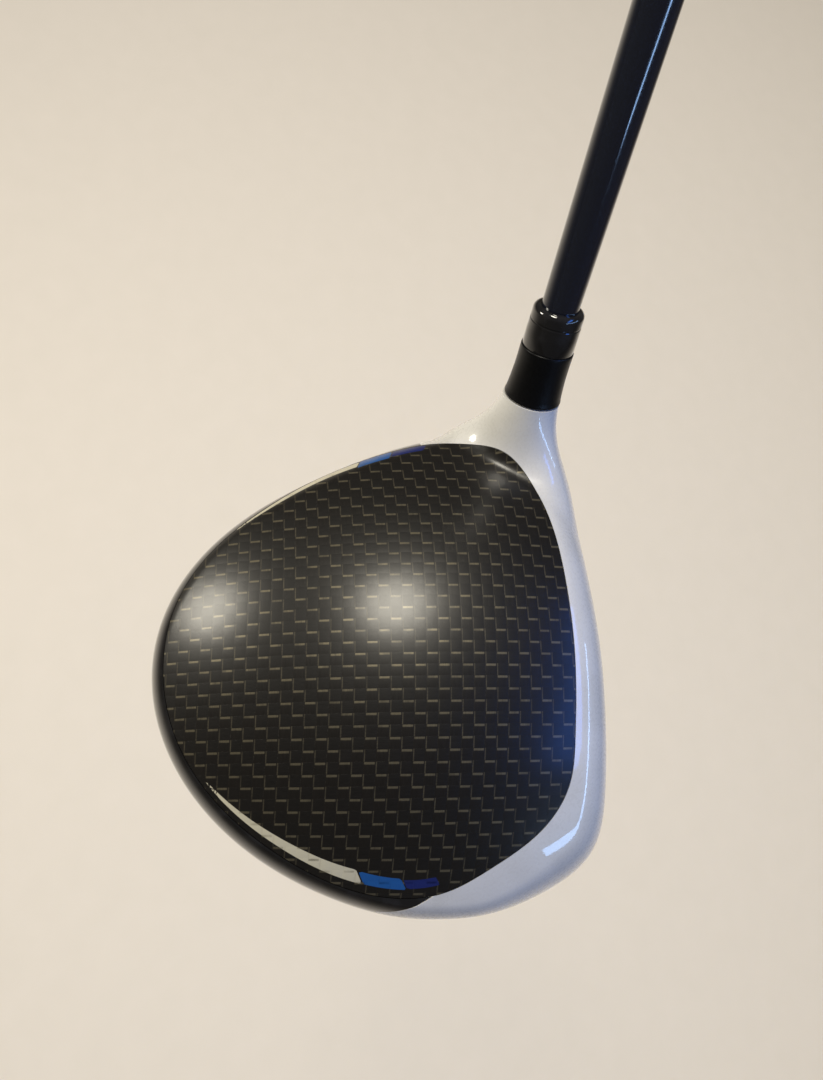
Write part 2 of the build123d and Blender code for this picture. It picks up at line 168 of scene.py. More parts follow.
class PlanDistance:
    """Signed distance to a closed outline in plan, negative inside, read from a 1 mm grid."""

    low = np.array([-90.0, -70.0])
    high = np.array([95.0, 105.0])

    def __init__(self, curve):
        xs = np.arange(self.low[0], self.high[0])
        ys = np.arange(self.low[1], self.high[1])
        gx, gy = np.meshgrid(xs, ys, indexing="ij")
        best = np.full(gx.shape, 1e9)
        inside = np.zeros(gx.shape, bool)
        for (ax, ay), (bx, by) in zip(curve, np.roll(curve, -1, 0)):
            dx, dy = bx - ax, by - ay
            t = np.clip(((gx - ax) * dx + (gy - ay) * dy) / (dx * dx + dy * dy), 0, 1)
            best = np.minimum(best, np.hypot(gx - ax - t * dx, gy - ay - t * dy))
            if ay != by:
                crossing = ((ay > gy) != (by > gy)) & (gx < ax + (gy - ay) / dy * dx)
                inside ^= crossing
        self.grid = np.where(inside, -best, best)

    def __call__(self, x, y):
        fx = np.clip(x - self.low[0], 0, self.grid.shape[0] - 1.001)
        fy = np.clip(y - self.low[1], 0, self.grid.shape[1] - 1.001)
        i, j = fx.astype(int), fy.astype(int)
        u, v = fx - i, fy - j
        g = self.grid
        near = g[i, j] * (1 - u) + g[i + 1, j] * u
        far = g[i, j + 1] * (1 - u) + g[i + 1, j + 1] * u
        return near * (1 - v) + far * v


rim_distance = PlanDistance(head_outline(RIM))
crown_distance = PlanDistance(head_outline(CROWN_EDGE))


def round_max(a, b, r):
    """Where both bounds hold, with the edge between them rounded to radius r."""
    return np.minimum(np.maximum(a, b), -r) + np.hypot(np.maximum(a + r, 0), np.maximum(b + r, 0))


def crown_bound(x, y, z):
    back = y - CROWN_MIDDLE
    q = (back / CROWN_DEPTH) ** 2 + (x / CROWN_SPAN) ** 2
    height = CROWN_TOP - CROWN_DROP * q - CROWN_CURL * q * q
    slope = CROWN_DROP + 2 * CROWN_CURL * q
    steep = np.hypot(slope * 2 * x / CROWN_SPAN ** 2, slope * 2 * back / CROWN_DEPTH ** 2)
    return (z - height) / np.hypot(1, steep)


def sole_bound(x, y, z):
    along = np.where(y > 0, BACK_RISE * (y / BACK_REACH) ** 2, FRONT_RISE * (y / FRONT_REACH) ** 2)
    height = np.maximum(SOLE_CAMBER * (x / SOLE_SPAN) ** 2 + along - SOLE_FLAT, 0)
    steep_back = 2 * BACK_RISE * y / BACK_REACH ** 2
    steep_front = 2 * FRONT_RISE * y / FRONT_REACH ** 2
    steep_along = np.where(y > 0, steep_back, steep_front)
    steep_across = 2 * SOLE_CAMBER * x / SOLE_SPAN ** 2
    return (height - z) / np.hypot(1, np.hypot(steep_across, steep_along))


def head_field(p):
    """Negative inside the head, and close to a distance near its surface.

    The face's lean fades out from 24 to 8 mm ahead of the origin, and the rim's rounding changes
    from its front value to its back value between 20 mm ahead of the origin and 2 mm behind it.
    """
    x, y, z = p[:, 0], p[:, 1], p[:, 2]
    front = smooth_step((-y - 8) / 16)
    lean = front * (z - RIM_HEIGHT) * tan(LOFT)
    tuck = SIDE_TUCK * ((z - RIM_HEIGHT) / TUCK_REACH) ** 2 * (1 - front)
    wall = rim_distance(x, y - lean) + tuck
    edge = EDGE_ROUND + (FRONT_ROUND - EDGE_ROUND) * smooth_step((2 - y) / 22)
    top = round_max(wall, crown_bound(x, y, z), edge)
    return round_max(top, sole_bound(x, y, z), SOLE_ROUND)


def whole_field(p):
    """The head with its neck flowing into it."""
    head = head_field(p)
    rel = p - HOSEL_TOP
    station = rel @ SHAFT_UP
    radial = np.linalg.norm(rel - station[:, None] * SHAFT_UP, axis=1) - HOSEL_RADIUS
    neck = np.maximum(radial, np.maximum(-station - NECK_BELOW, station - NECK_ABOVE))
    backward = smooth_step((p[:, 1] + 12) / 14)
    blend = NECK_BLEND + (NECK_BLEND_BACK - NECK_BLEND) * backward
    clear = smooth_step(crown_distance(p[:, 0], p[:, 1]) / CROWN_CLEAR + 0.3)
    blend = blend * (LEAST_FLARE + (1 - LEAST_FLARE) * clear)
    share = np.clip(0.5 + 0.5 * (neck - head) / blend, 0, 1)
    return neck * (1 - share) + head * share - blend * share * (1 - share)


def gradient(field, p, e=0.05):
    steps = np.eye(3) * e
    return np.stack([(field(p + s) - field(p - s)) / (2 * e) for s in steps], 1)


def settle(field, p, rounds=4):
    """Moves points onto the field's zero surface."""
    for _ in range(rounds):
        g = gradient(field, p)
        p = p - g * (field(p) / np.maximum((g * g).sum(1), 1e-6))[:, None]
    return p


def surface_net(field, low, high, step):
    """Closed quad mesh of the field's zero surface."""
    axes = [np.arange(a, b + step, step) for a, b in zip(low, high)]
    grid = np.stack(np.meshgrid(*axes, indexing="ij"), -1)
    inside = field(grid.reshape(-1, 3)).reshape(grid.shape[:3]) < 0
    n = np.array(inside.shape) - 1
    corners = sum(
        inside[i:n[0] + i, j:n[1] + j, k:n[2] + k].astype(int)
        for i in (0, 1) for j in (0, 1) for k in (0, 1)
    )
    live = (corners > 0) & (corners < 8)
    index = np.full(live.shape, -1)
    index[live] = np.arange(live.sum())
    points = np.array(low) + (np.argwhere(live) + 0.5) * step
    faces = []
    for axis in range(3):
        here = [slice(None)] * 3
        there = [slice(None)] * 3
        here[axis], there[axis] = slice(0, -1), slice(1, None)
        lower, upper = inside[tuple(here)], inside[tuple(there)]
        e = np.argwhere(lower != upper)
        u, v = (axis + 1) % 3, (axis + 2) % 3
        du, dv = np.eye(3, dtype=int)[u], np.eye(3, dtype=int)[v]
        ring = [index[tuple((e - a).T)] for a in (0 * du, du, du + dv, dv)]
        quads = np.stack(ring, 1)
        turn = lower[tuple(e.T)]
        quads[~turn] = quads[~turn][:, ::-1]
        faces.append(quads)
    return points, np.concatenate(faces)


def relax(field, points, faces, rounds=3):
    """Evens the quads out along the surface."""
    edges = np.concatenate([faces[:, [i, (i + 1) % 4]] for i in range(4)])
    for _ in range(rounds):
        total = np.zeros_like(points)
        count = np.zeros(len(points))
        np.add.at(total, edges[:, 0], points[edges[:, 1]])
        np.add.at(count, edges[:, 0], 1)
        np.add.at(total, edges[:, 1], points[edges[:, 0]])
        np.add.at(count, edges[:, 1], 1)
        points = settle(field, 0.4 * points + 0.6 * total / count[:, None], 2)
    return points


# ---- mesh helpers -------------------------------------------------------------------------
def make_object(name, points, faces):
    mesh = bpy.data.meshes.new(name)
    mesh.from_pydata((np.asarray(points) * MM).tolist(), [], [list(map(int, f)) for f in faces])
    mesh.update()
    piece = bpy.data.objects.new(name, mesh)
    bpy.context.scene.collection.objects.link(piece)
    return piece


def field_object(name, field, step, subdivide=False):
    """Smooth closed mesh of a field, searched for in a block that holds the head and its neck."""
    points, faces = surface_net(field, (-68, -46, -4), (78, 82, 70), step)
    points = relax(field, settle(field, points), faces)
    piece = make_object(name, points, faces)
    if subdivide:
        finer = piece.modifiers.new("finer", "SUBSURF")
        finer.subdivision_type = "SIMPLE"
        finer.levels = 1
        apply_modifiers(piece)
        co = read_points(piece)
        write_points(piece, settle(field, co, 3))
    return piece


def read_points(piece):
    co = np.empty(len(piece.data.vertices) * 3)
    piece.data.vertices.foreach_get("co", co)
    return co.reshape(-1, 3) / MM


def write_points(piece, points):
    piece.data.vertices.foreach_set("co", (points * MM).ravel())
    piece.data.update()


def apply_modifiers(piece):
    bpy.context.view_layer.update()
    graph = bpy.context.evaluated_depsgraph_get()
    mesh = bpy.data.meshes.new_from_object(piece.evaluated_get(graph))
    piece.modifiers.clear()
    old = piece.data
    piece.data = mesh
    bpy.data.meshes.remove(old)


def combine(piece, other, operation, keep=False):
    """Cuts, joins or intersects piece with other."""
    cut = piece.modifiers.new("cut", "BOOLEAN")
    cut.operation = operation
    cut.solver = "MANIFOLD"
    cut.object = other
    apply_modifiers(piece)
    if not keep:
        bpy.data.objects.remove(other)


def copy_of(piece, name):
    twin = bpy.data.objects.new(name, piece.data.copy())
    bpy.context.scene.collection.objects.link(twin)
    return twin


def prism(name, curve, low, high, across=None):
    """Column over a closed outline, from one height to another.

    An upright column needs nothing more. For a column that lies down, across turns the outline's
    two numbers and the height into a point, and has to swap two directions, not rotate all three.
    """
    curve = np.asarray(curve)
    n = len(curve)
    if across is None:
        rings = [np.column_stack([curve, np.full(n, h)]) for h in (low, high)]
    else:
        rings = [np.array([across(a, b, h) for a, b in curve]) for h in (low, high)]
    area = np.sum(curve[:, 0] * np.roll(curve[:, 1], -1) - curve[:, 1] * np.roll(curve[:, 0], -1))
    sides = [(i, (i + 1) % n, n + (i + 1) % n, n + i) for i in range(n)]
    faces = [list(range(n))[::-1], list(range(n, 2 * n))] + sides
    flip = (area < 0) != (across is not None)
    if flip:
        faces = [list(f)[::-1] for f in faces]
    return make_object(name, np.concatenate(rings), faces)


def slab(name, low, high):
    """Upright block between two corners."""
    (a, b, c), (d, e, f) = low, high
    return prism(name, [(a, b), (d, b), (d, e), (a, e)], c, f)


def lathe(name, profile, segments=96, bump=None):
    """Solid turned about the shaft axis from points of (radius, station).

    A profile that starts on the axis has to end on it. Any other is a tube and is closed in a ring.
    """
    turned = []
    angles = np.arange(segments) * 2 * pi / segments
    ring = np.outer(np.cos(angles), SHAFT_SIDE) + np.outer(np.sin(angles), (0, 1, 0))
    for r, s in profile:
        radius = np.full(segments, float(r))
        if bump is not None:
            radius = radius + bump(r, s, angles)
        turned.append(HOSEL_TOP + SHAFT_UP * s + ring * radius[:, None])
    points = np.concatenate(turned)
    faces = []
    count = len(profile)
    ringed = profile[0][0] > 0
    for k in range(count if ringed else count - 1):
        a, b = k * segments, ((k + 1) % count) * segments
        for i in range(segments):
            j = (i + 1) % segments
            faces.append((a + i, b + i, b + j, a + j))
    piece = make_object(name, points, faces)
    tidy = piece.modifiers.new("weld", "WELD")
    tidy.merge_threshold = 1e-6
    apply_modifiers(piece)
    face_outwards(piece)
    return piece


def face_outwards(piece):
    mesh = bmesh.new()
    mesh.from_mesh(piece.data)
    bmesh.ops.recalc_face_normals(mesh, faces=mesh.faces)
    mesh.to_mesh(piece.data)
    mesh.free()


def soften(piece, angle=32):
    """Smooth shading with crisp edges where the surface turns sharply."""
    piece.data.shade_smooth()
    piece.data.set_sharp_from_angle(angle=radians(angle))


def place(piece, body, slot, material, *replaced):
    piece.data.materials.clear()
    piece.data.materials.append(material)
    soften(piece)
    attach(piece, body)
    if replaced:
        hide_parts(*replaced)


# ---- materials ------------------------------------------------------------------------------
class Look:
    """A node material with short calls for the nodes it uses."""

    def __init__(self, name):
        self.material = bpy.data.materials.new(name)
        self.material.use_nodes = True
        self.tree = self.material.node_tree
        self.shader = self.tree.nodes["Principled BSDF"]
        coords = self.tree.nodes.new("ShaderNodeTexCoord")
        scale = self.tree.nodes.new("ShaderNodeVectorMath")
        scale.operation = "SCALE"
        scale.inputs["Scale"].default_value = 1 / MM
        self.link(coords.outputs["Object"], scale.inputs[0])
        self.place = scale.outputs[0]

    def link(self, a, b):
        self.tree.links.new(a, b)

    def set(self, **values):
        for name, value in values.items():
            self.feed(self.shader.inputs[name.replace("_", " ")], value)

    def feed(self, socket, value):
        """Links a node's output to a socket, or sets the socket to a constant."""
        if hasattr(value, "is_output"):
            self.link(value, socket)
        else:
            socket.default_value = value

    def math(self, operation, a, b=0.0, clamp=False):
        n = self.tree.nodes.new("ShaderNodeMath")
        n.operation = operation
        n.use_clamp = clamp
        self.feed(n.inputs[0], a)
        self.feed(n.inputs[1], b)
        return n.outputs[0]

    def ramp(self, value, low, high, to_low=0.0, to_high=1.0):
        n = self.tree.nodes.new("ShaderNodeMapRange")
        n.interpolation_type = "SMOOTHSTEP"
        self.feed(n.inputs["Value"], value)
        for name, v in zip(("From Min", "From Max", "To Min", "To Max"), (low, high, to_low, to_high)):
            self.feed(n.inputs[name], v)
        return n.outputs["Result"]

    def split(self):
        n = self.tree.nodes.new("ShaderNodeSeparateXYZ")
        self.link(self.place, n.inputs[0])
        return n.outputs

    def stretch(self, sx, sy, sz):
        n = self.tree.nodes.new("ShaderNodeVectorMath")
        n.operation = "MULTIPLY"
        self.link(self.place, n.inputs[0])
        n.inputs[1].default_value = (sx, sy, sz)
        return n.outputs[0]

    def noise(self, scale, detail=3.0, vector=None):
        n = self.tree.nodes.new("ShaderNodeTexNoise")
        n.inputs["Scale"].default_value = scale
        n.inputs["Detail"].default_value = detail
        self.link(vector or self.place, n.inputs["Vector"])
        return n.outputs["Fac"]

    def specks(self, scale, size):
        n = self.tree.nodes.new("ShaderNodeTexVoronoi")
        n.inputs["Scale"].default_value = scale
        self.link(self.place, n.inputs["Vector"])
        return self.math("LESS_THAN", n.outputs["Distance"], size)

    def mix(self, share, a, b):
        n = self.tree.nodes.new("ShaderNodeMix")
        n.data_type = "RGBA"
        self.feed(n.inputs[0], share)
        for socket, value in ((n.inputs[6], a), (n.inputs[7], b)):
            self.feed(socket, value if hasattr(value, "is_output") else (*value, 1.0))
        return n.outputs[2]

    def attribute(self, name):
        n = self.tree.nodes.new("ShaderNodeAttribute")
        n.attribute_name = name
        return n.outputs["Fac"]

    def bump(self, height, distance, strength):
        n = self.tree.nodes.new("ShaderNodeBump")
        n.inputs["Strength"].default_value = strength
        n.inputs["Distance"].default_value = distance * MM
        self.link(height, n.inputs["Height"])
        self.link(n.outputs[0], self.shader.inputs["Normal"])


def white_paint():
    look = Look("white paint")
    cloud = look.noise(0.06, 3)
    fine = look.noise(1.1, 2)
    base = look.mix(look.ramp(cloud, 0.35, 0.65), (0.74, 0.73, 0.70), (0.82, 0.81, 0.79))
    patches = look.ramp(look.noise(0.05, 2), 0.5, 0.62)
    chips = look.math("MULTIPLY", look.specks(0.11, 0.035), patches)
    look.set(Base_Color=look.mix(chips, base, (0.03, 0.03, 0.03)),
             Roughness=look.ramp(fine, 0.3, 0.7, 0.24, 0.34),
             Coat_Weight=1.0, Coat_Roughness=0.03, Specular_IOR_Level=0.5)
    look.bump(fine, 0.012, 0.35)
    return look.material


def carbon(striped):
    """Plain weave: each tow passes over and under its neighbours. Where it dives, a painted highlight
    (a pale glint) is laid into the colour, partly metallic so that the lamps brighten it as well.

    The weave repeats in plan, along x and y. With striped, the crown's accents are painted on it
    from the masks that paint_stripes makes.
    """
    tow = 2.6
    look = Look("carbon weave with stripes" if striped else "carbon weave")
    x, y, _ = look.split()
    u = look.math("DIVIDE", x, tow)
    v = look.math("DIVIDE", y, tow)
    cell = look.math("ADD", look.math("FLOOR", u), look.math("FLOOR", v))
    over = look.math("FLOORED_MODULO", cell, 2.0)
    fu = look.math("SUBTRACT", look.math("FRACT", u), 0.5)
    fv = look.math("SUBTRACT", look.math("FRACT", v), 0.5)

    def falling(offset, power, amount):
        """1 in the middle of a tow's cell, less by amount * |offset| ** power."""
        bend = look.math("POWER", look.math("ABSOLUTE", offset), power)
        return look.math("SUBTRACT", 1.0, look.math("MULTIPLY", bend, amount))

    def crowned(along, side):
        return look.math("MULTIPLY", falling(along, 2.0, 2.6), falling(side, 4.0, 6.0))

    def choose(a, b):
        lift = look.math("MULTIPLY", over, a)
        return look.math("ADD", lift, look.math("MULTIPLY", look.math("SUBTRACT", 1.0, over), b))

    height = choose(crowned(fu, fv), crowned(fv, fu))
    streak_x = look.noise(1.0, 4, look.stretch(0.35, 9.0, 1.0))
    streak_y = look.noise(1.0, 4, look.stretch(9.0, 0.35, 1.0))
    streak = choose(streak_x, streak_y)
    # The dashes at the tows' ends and the thin threads at their sides are painted highlights: glints
    # put into the colour, not marks in the cloth.
    body = look.ramp(look.math("ABSOLUTE", fv), 0.47, 0.38)
    end = look.math("MULTIPLY", look.ramp(fu, 0.24, 0.36), look.ramp(fu, 0.5, 0.44))
    dash = look.math("MULTIPLY", end, body)
    thread = look.math("MULTIPLY", look.ramp(fv, 0.36, 0.42), look.ramp(fv, 0.5, 0.46))
    glint = choose(dash, look.math("MULTIPLY", thread, 0.35))
    uneven = look.ramp(look.noise(0.35, 2), 0.3, 0.7, 0.55, 1.25)
    glint = look.math("MULTIPLY", glint, uneven)
    glint = look.math("MULTIPLY", glint, look.ramp(streak, 0.2, 0.7, 0.6, 1.2))
    dark = choose(look.ramp(streak, 0.3, 0.8, 0.6, 1.0), look.ramp(streak, 0.3, 0.8, 0.35, 0.75))
    cloth = look.mix(dark, (0.002, 0.002, 0.002), (0.010, 0.008, 0.006))
    # Painted highlight: the glint mixes a pale colour into the cloth's dark base colour.
    cloth = look.mix(look.math("MULTIPLY", glint, 1.0, True), cloth, (0.15, 0.13, 0.085))
    rough = choose(look.ramp(streak, 0.2, 0.8, 0.36, 0.5), look.ramp(streak, 0.2, 0.8, 0.42, 0.56))
    if striped:
        cream = look.ramp(look.attribute("cream"), -0.06, 0.06)
        sky = look.ramp(look.attribute("sky"), -0.06, 0.06)
        indigo = look.ramp(look.attribute("indigo"), -0.06, 0.06)
        cloth = look.mix(cream, cloth, (0.62, 0.58, 0.44))
        cloth = look.mix(sky, cloth, (0.010, 0.095, 0.33))
        cloth = look.mix(indigo, cloth, (0.008, 0.018, 0.13))
    # The glint's metallic share lets the lamps add to the painted highlight.
    look.set(Base_Color=cloth, Roughness=rough, Specular_IOR_Level=0.3,
             Metallic=look.math("MULTIPLY", glint, 0.55, True),
             Coat_Weight=0.7, Coat_Roughness=0.25, Coat_IOR=1.5)
    look.bump(look.math("ADD", height, look.math("MULTIPLY", streak, 0.25)), 0.10, 0.5)
    return look.material


def gloss_black(name, rough=0.14, grain=1.4):
    look = Look(name)
    base = (0.008, 0.008, 0.009)
    fine = look.noise(grain, 3)
    lift = tuple(c * 2.2 for c in base)
    look.set(Base_Color=look.mix(look.ramp(look.noise(0.2, 4), 0.45, 0.7), base, lift),
             Roughness=look.ramp(fine, 0.3, 0.7, rough * 0.8, rough * 1.3),
             Coat_Weight=0.8, Coat_Roughness=0.05, Specular_IOR_Level=0.5)
    look.bump(fine, 0.01, 0.3)
    return look.material


def anodised():
    look = Look("black anodised")
    rings = look.noise(1.0, 3, look.stretch(2.2, 2.2, 2.2))
    look.set(Base_Color=look.mix(rings, (0.004, 0.004, 0.005), (0.010, 0.010, 0.011)),
             Metallic=0.55, Roughness=look.ramp(rings, 0.3, 0.7, 0.30, 0.40))
    look.bump(rings, 0.008, 0.4)
    return look.material


def brushed(name, base, rough=0.32, along=(0.15, 6.0, 6.0)):
    look = Look(name)
    scratch = look.noise(1.0, 5, look.stretch(*along))
    wear = look.noise(0.12, 3)
    darker = tuple(c * 0.55 for c in base)
    uneven = look.ramp(scratch, 0.3, 0.7, rough - 0.08, rough + 0.1)
    look.set(Base_Color=look.mix(look.ramp(scratch, 0.3, 0.7), darker, base), Metallic=1.0,
             Roughness=look.math("ADD", uneven, look.ramp(wear, 0.4, 0.8, 0.0, 0.08)))
    look.bump(scratch, 0.015, 0.4)
    return look.material


def rubber(name, base=(0.018, 0.018, 0.019)):
    look = Look(name)
    grain = look.noise(2.5, 4)
    dust = look.noise(0.09, 4)
    lift = tuple(c * 2.4 for c in base)
    look.set(Base_Color=look.mix(look.ramp(dust, 0.4, 0.75), base, lift),
             Roughness=look.ramp(grain, 0.3, 0.7, 0.62, 0.8), Specular_IOR_Level=0.35)
    look.bump(grain, 0.05, 0.6)
    return look.material


def shaft_paint():
    look = Look("shaft paint")
    fine = look.noise(1.6, 3)
    flake = look.noise(9.0, 1)
    base = look.mix(look.ramp(flake, 0.55, 0.75), (0.006, 0.008, 0.016), (0.02, 0.03, 0.07))
    look.set(Base_Color=base, Roughness=look.ramp(fine, 0.3, 0.7, 0.10, 0.16),
             Coat_Weight=1.0, Coat_Roughness=0.04)
    look.bump(fine, 0.006, 0.3)
    return look.material


def cloth_tape():
    look = Look("tape")
    warp = look.noise(3.0, 2, look.stretch(1, 6, 1))
    weft = look.noise(3.0, 2, look.stretch(6, 1, 1))
    weave = look.math("MULTIPLY", warp, weft)
    threads = look.mix(look.ramp(weave, 0.15, 0.4), (0.55, 0.5, 0.38), (0.78, 0.74, 0.6))
    look.set(Base_Color=threads, Roughness=0.85)
    look.bump(weave, 0.05, 0.5)
    return look.material


# ---- the head's shells -----------------------------------------------------------------------
# The joint between casting and ring is an upright plane: a point on it, the direction it runs in
# plan and the direction behind it.
JOINT_POINT = np.array([0, 17])
JOINT_RUN = np.array([118.0, -11.0]) / np.hypot(118, 11)
JOINT_BEHIND = np.array([-JOINT_RUN[1], JOINT_RUN[0]])
HALF_REACH = 120         # half the width and the depth of a block that clears the head
HALF_DEPTH = 150
BELOW_HEAD = -20
ABOVE_HEAD = 100

outer = field_object("outer", whole_field, SHELL_STEP, subdivide=True)
head_only = field_object("head only", head_field, SHELL_STEP, subdivide=True)


def inner_form(thickness):
    return field_object("inner", lambda p: head_field(p) + thickness, INNER_STEP)


def half(behind, gap):
    """Block that fills everything behind, or in front of, the joint between casting and ring."""
    sign = 1 if behind else -1
    near = JOINT_POINT + JOINT_BEHIND * gap * sign
    far = near + JOINT_BEHIND * HALF_DEPTH * sign
    reach = JOINT_RUN * HALF_REACH
    a, b, c, d = near - reach, near + reach, far + reach, far - reach
    corners = [a, b, c, d] if behind else [b, a, d, c]
    return prism("half", corners, BELOW_HEAD, ABOVE_HEAD)


def ring_wedge(gap):
    """Region where the ring's pointed end runs forward along the crown's edge, at the toe.

    Its corners are (height, distance behind the origin).
    """
    corners = [(32.5 + gap, 23.5 + gap), (60, 23.5 + gap), (60, -14.5 + gap)]
    return prism("wedge", corners, -80, -44, across=lambda z, y, x: (x, y, z))


def crown_lid(inset):
    return prism("lid", head_outline(CROWN_EDGE, inset), 24, 90)


def keel_block(inset):
    return prism("keel", head_outline(KEEL_EDGE, inset), -10, 21)


def sole_block(inset):
    return prism("sole", head_outline(RIM, SOLE_INSET + inset), -6, 21)


white = white_paint()
weave_striped = carbon(True)
weave_plain = carbon(False)
black_gloss = gloss_black("black ring")
black_plastic = gloss_black("ferrule plastic", rough=0.10)
steel = brushed("steel", (0.55, 0.55, 0.56))
dark_rubber = rubber("grip rubber")

crown = copy_of(outer, "crown")
combine(crown, crown_lid(JOINT_GAP), "INTERSECT")
combine(crown, inner_form(CROWN_SKIN), "DIFFERENCE")

casting = copy_of(outer, "casting")
combine(casting, half(True, 0.0), "DIFFERENCE")
combine(casting, ring_wedge(0.0), "DIFFERENCE")
combine(casting, inner_form(BODY_WALL), "DIFFERENCE")
combine(casting, crown_lid(0.0), "DIFFERENCE")
face_opening = prism("face opening", closed_spline(FACE_EDGE), -60, -18,
                     across=lambda x, z, y: (x, y, z))
combine(casting, face_opening, "DIFFERENCE")
combine(casting, slab("slot", (-32, -27.8, -6), (26, -23.2, 8)), "DIFFERENCE")
tube = lathe("tube", [
    (0, 0.5), (HOSEL_RADIUS, 0.5), (7.4, -6), (7.4, -34), (6.2, -37), (6.2, -74), (0, -74),
], 64)
combine(tube, outer, "INTERSECT", keep=True)
combine(casting, tube, "UNION")
combine(casting, lathe("trim", [(0, 0), (30, 0), (30, 14), (0, 14)], 64), "DIFFERENCE")
seat_bottom = -SEAT_DEPTH - 3
combine(casting, lathe("bore", [
    (0, 2), (SLEEVE_BORE, 2), (SLEEVE_BORE, -7.2), (SPLINE_SEAT, -7.2), (SPLINE_SEAT, -SEAT_DEPTH),
    (SCREW_HOLE, -SEAT_DEPTH), (SCREW_HOLE, seat_bottom), (PORT_RADIUS, seat_bottom),
    (PORT_RADIUS, -80), (0, -80),
], 64), "DIFFERENCE")

ring = copy_of(head_only, "ring")
front_block = half(False, JOINT_GAP)
combine(front_block, ring_wedge(JOINT_GAP), "DIFFERENCE")
combine(ring, front_block, "DIFFERENCE")
combine(ring, inner_form(RING_WALL), "DIFFERENCE")
combine(ring, crown_lid(0.0), "DIFFERENCE")
combine(ring, sole_block(0.0), "DIFFERENCE")
combine(ring, keel_block(-0.1), "DIFFERENCE")

sole = copy_of(head_only, "sole")
combine(sole, sole_block(JOINT_GAP), "INTERSECT")
combine(sole, half(False, JOINT_GAP), "DIFFERENCE")
combine(sole, inner_form(CROWN_SKIN), "DIFFERENCE")
combine(sole, keel_block(-0.1), "DIFFERENCE")
bpy.data.objects.remove(outer)
bpy.data.objects.remove(head_only)


# Accents along the crown's edge: side (1 heel, -1 toe), name, start and end (distance behind the
# origin), gap to the edge at the start and at the end, width, and whether it tapers to a point.
STRIPES = [
    (1, "cream", 27.6, 58.8, 0.4, 0.2, 1.7, True),
    (1, "sky", 19.3, 27.3, 0.3, 0.3, 2.2, False),
    (1, "indigo", 10.6, 19.0, 0.4, 0.4, 1.9, False),
    (-1, "cream", 25.6, 62.0, 2.0, 1.1, 2.7, True),
    (-1, "sky", 15.8, 25.2, 2.1, 2.1, 2.5, False),
    (-1, "indigo", 8.4, 15.5, 2.3, 2.3, 2.0, False),
]
STRIPE_SLANT = 0.6       # the stripes' ends lean by this much for each millimetre from the edge
STRIPE_LEVEL = 27.0      # nothing is painted below this height


def paint_stripes(piece):
    """Signed masks, in millimetres, of the three accents that follow the crown's edge."""
    p = read_points(piece)
    x, y = p[:, 0], p[:, 1]
    depth = -crown_distance(x, y)
    masks = {name: np.full(len(p), -1.0) for name in ("cream", "sky", "indigo")}
    slant = y - STRIPE_SLANT * depth
    for side, name, start, end, gap_front, gap_back, width, tapers in STRIPES:
        back = np.clip((slant - start) / (end - start), 0, 1)
        gap = gap_front + (gap_back - gap_front) * back
        if tapers:
            width = width * (1 - back) ** 0.7
        band = np.minimum(depth - gap, gap + width - depth)
        reach = np.minimum(slant - start, end - slant)
        here = np.minimum(band, reach)
        here = np.where((x * side > 0) & (p[:, 2] > STRIPE_LEVEL), here, -1)
        masks[name] = np.maximum(masks[name], here)
    for name, value in masks.items():
        data = piece.data.attributes.new(name, "FLOAT", "POINT")
        data.data.foreach_set("value", value.astype(np.float32))


paint_stripes(crown)
place(crown, "head", "carbon_weave", weave_striped, "crown_panel")
place(casting, "head", "white_paint", white, "front_body")
place(ring, "head", "black_ring", black_gloss, "rear_ring")
place(sole, "head", "carbon_weave", weave_plain, "sole_panel")


# ---- sleeve, ferrule, shaft and grip -------------------------------------------------------
SPLINES = 12
SPLINE_ROOT = 5.3        # radius at which a spline starts, inside the sleeve's skin
COLLAR_TOP = 6.5         # the collar's radius above, and how much its foot is wider
COLLAR_FLARE = 0.7
FLARE_HEIGHT = 11.0


def arc(centre, radius, start, end, count=8):
    """Points of a rounded edge in (radius, station)."""
    turn = np.radians(np.linspace(start, end, count))
    return [(centre[0] + radius * cos(a), centre[1] + radius * sin(a)) for a in turn]


def flare(s):
    """Radius of the collar: nearly straight above, flaring in a hollow curve to its foot."""
    return COLLAR_TOP + COLLAR_FLARE * (1 - np.clip(s / FLARE_HEIGHT, 0, 1)) ** 2


def spline_rib(angle):
    """One tooth of the sleeve: a block that narrows outwards, from its top to its bottom."""
    out = SHAFT_SIDE * cos(angle) + np.array([0, 1, 0]) * sin(angle)
    side = np.cross(SHAFT_UP, out)
    root = HOSEL_TOP + out * SPLINE_ROOT
    corners = []
    for s in (0.35, -5.7):
        for a, b in ((0, -0.6), (0.8, -0.45), (0.8, 0.45), (0, 0.6)):
            corners.append(root + out * a + side * b + SHAFT_UP * s)
    sides = [(i, i + 4, (i + 1) % 4 + 4, (i + 1) % 4) for i in range(4)]
    rib = make_object("rib", corners, [(0, 1, 2, 3), (7, 6, 5, 4)] + sides)
    face_outwards(rib)
    return rib


sleeve = lathe("sleeve", (
    [(LOW_RADIUS, 13.9)] + arc((6.2, 13.6), 0.3, 90, 0, 5)
    + [(flare(s), s) for s in np.linspace(12.8, 1.0, 12)] + arc((6.85, 0.65), 0.35, 0, -90, 5)
    + [(5.5, 0.3), (5.5, -27.4), (4.9, -28), (2.5, -28), (2.5, -18), (0.01, -18), (0.01, -17),
       (LOW_RADIUS, -17)]
), 128)
for tooth in range(SPLINES):
    combine(sleeve, spline_rib(tooth * 2 * pi / SPLINES), "UNION")
place(sleeve, "shaft_assembly", "black_anodised", anodised(), "hosel_sleeve")

